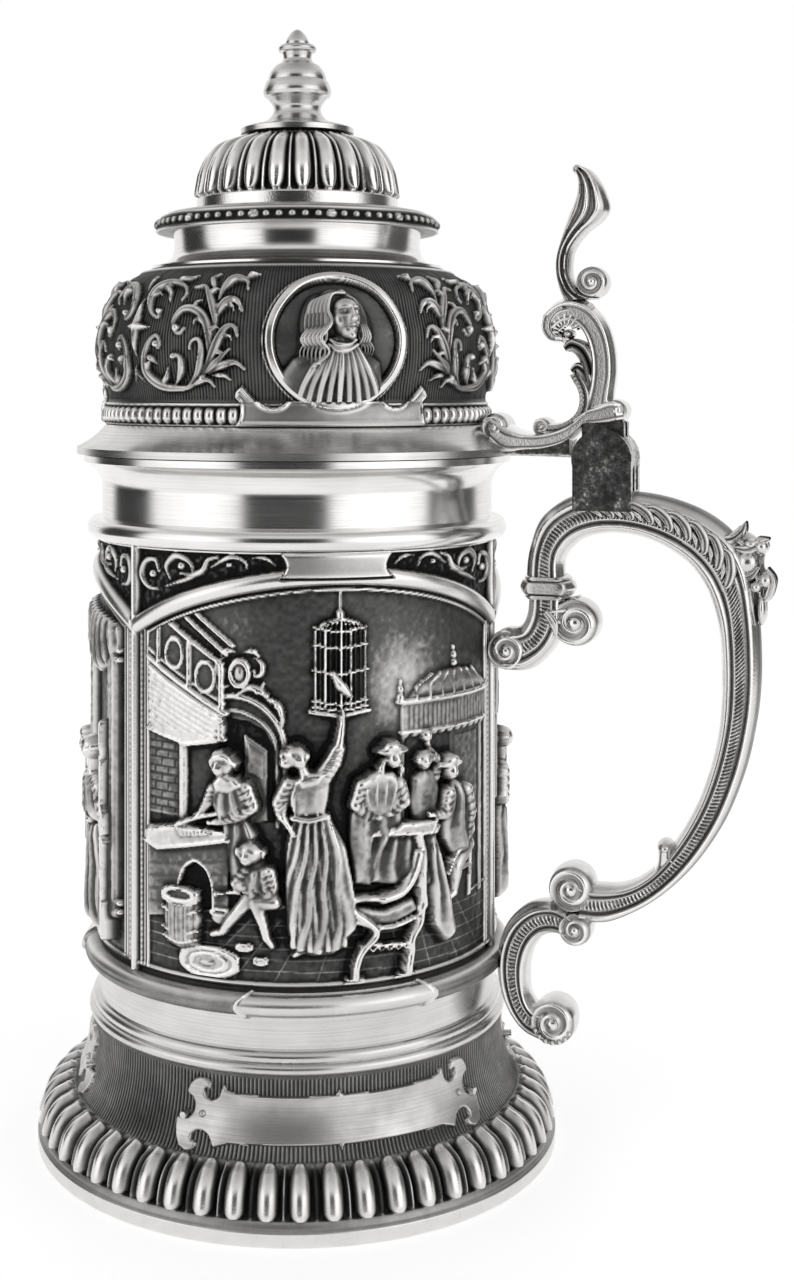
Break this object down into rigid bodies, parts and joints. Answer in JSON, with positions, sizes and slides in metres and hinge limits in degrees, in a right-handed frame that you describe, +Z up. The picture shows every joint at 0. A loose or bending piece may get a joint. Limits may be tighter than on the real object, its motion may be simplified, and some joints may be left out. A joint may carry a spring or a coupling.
{
  "type": "lidded tankard",
  "caption": "Lidded pewter drinking tankard with relief panels, flared foot, domed hinged lid with finial, scroll handle and thumblift.",
  "frame": {"origin": "centre of the foot's bottom rim, on the surface that the tankard stands on", "axes": "+Z up through the finial, +X towards the handle, Y along the lid's hinge pin"},
  "size_m": [0.1632, 0.117, 0.25],
  "materials": {
    "turned_pewter": "lathe-turned bright pewter with fine concentric brushing",
    "relief_pewter": "cast relief pewter with dark patina in the recesses and rubbed bright high points",
    "cast_pewter": "bright cast pewter, lightly textured",
    "nameplate_pewter": "satin brushed pewter sheet",
    "hardware": "plain steel pin, stud and nut"
  },
  "bodies": {
    "vessel": {"foot_casting": "relief_pewter", "foot_base_plate": "turned_pewter", "foot_collar_band": "turned_pewter", "panel_bottom_ring": "relief_pewter", "relief_panel_front": "relief_pewter", "relief_panel_right": "relief_pewter", "relief_panel_back": "relief_pewter", "vessel_liner": "turned_pewter", "vessel_floor": "turned_pewter", "collar": "turned_pewter", "foot_nameplate_front": "nameplate_pewter", "foot_nameplate_right": "nameplate_pewter", "foot_nameplate_back": "nameplate_pewter", "nameplate_pins": "nameplate_pewter", "handle_strap": "cast_pewter", "handle_upper_scroll": "cast_pewter", "handle_lower_scroll": "cast_pewter", "hinge_lug": "cast_pewter", "hinge_pin": "hardware"},
    "lid": {"lid_rim": "turned_pewter", "lid_shoulder": "relief_pewter", "lid_neck": "turned_pewter", "lid_ring": "relief_pewter", "lid_cap": "relief_pewter", "finial_plate": "turned_pewter", "finial": "turned_pewter", "finial_stud": "hardware", "finial_nut": "hardware", "lid_shank": "cast_pewter", "thumblift": "cast_pewter"}
  },
  "joints": [
    {"name": "lid_hinge", "type": "hinge", "parent": "vessel", "child": "lid", "pos_m": [0.0706, 0, 0.1529], "axis": [0, 1, 0], "range_deg": [0, 98]}
  ]
}
